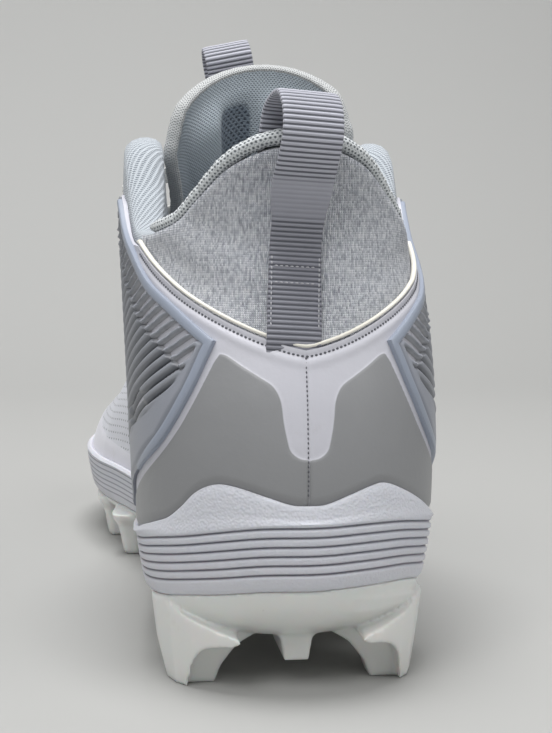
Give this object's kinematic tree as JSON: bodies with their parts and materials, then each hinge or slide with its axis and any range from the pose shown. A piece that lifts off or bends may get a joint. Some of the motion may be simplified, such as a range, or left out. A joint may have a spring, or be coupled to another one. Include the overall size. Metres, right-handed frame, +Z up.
{
  "type": "american football cleat",
  "caption": "Mid-height cleat for the right foot, with a knitted heel, pull loops, a padded tongue, laces and a moulded plate with studs.",
  "frame": {"origin": "on the floor plane, under the middle of the sole's outline", "axes": "+Y from heel to toe, +X to the outer side of the right foot, +Z up"},
  "size_m": [0.1044, 0.3, 0.1759],
  "materials": {
    "foam": "white foam with a fine pebbled skin",
    "plate": "slightly translucent white moulding",
    "knit": "heather grey knit",
    "counter": "smooth synthetic in pale grey with mid-grey overlays",
    "trim": "cream piping and lace",
    "frame": "satin blue-grey moulding",
    "binding": "open mesh tube",
    "webbing": "ribbed ribbon",
    "lining": "padded spacer mesh",
    "footbed": "brushed textile",
    "eyelet": "moulded ring"
  },
  "bodies": {
    "root": {"outsole": "plate", "midsole": "foam", "insole": "footbed", "upper": "knit", "heel_counter": "counter", "heel_piping": "trim", "side_frame_outer": "frame", "side_frame_inner": "frame", "collar_binding": "binding", "heel_loop": "webbing", "tongue": "lining", "tongue_loop": "webbing", "eyestay_outer": "counter", "eyestay_inner": "counter", "eyelet_outer_1": "eyelet", "eyelet_inner_1": "eyelet", "eyelet_outer_2": "eyelet", "eyelet_inner_2": "eyelet", "eyelet_outer_3": "eyelet", "eyelet_inner_3": "eyelet", "eyelet_outer_4": "eyelet", "eyelet_inner_4": "eyelet", "eyelet_outer_5": "eyelet", "eyelet_inner_5": "eyelet", "lace": "trim"}
  },
  "joints": []
}
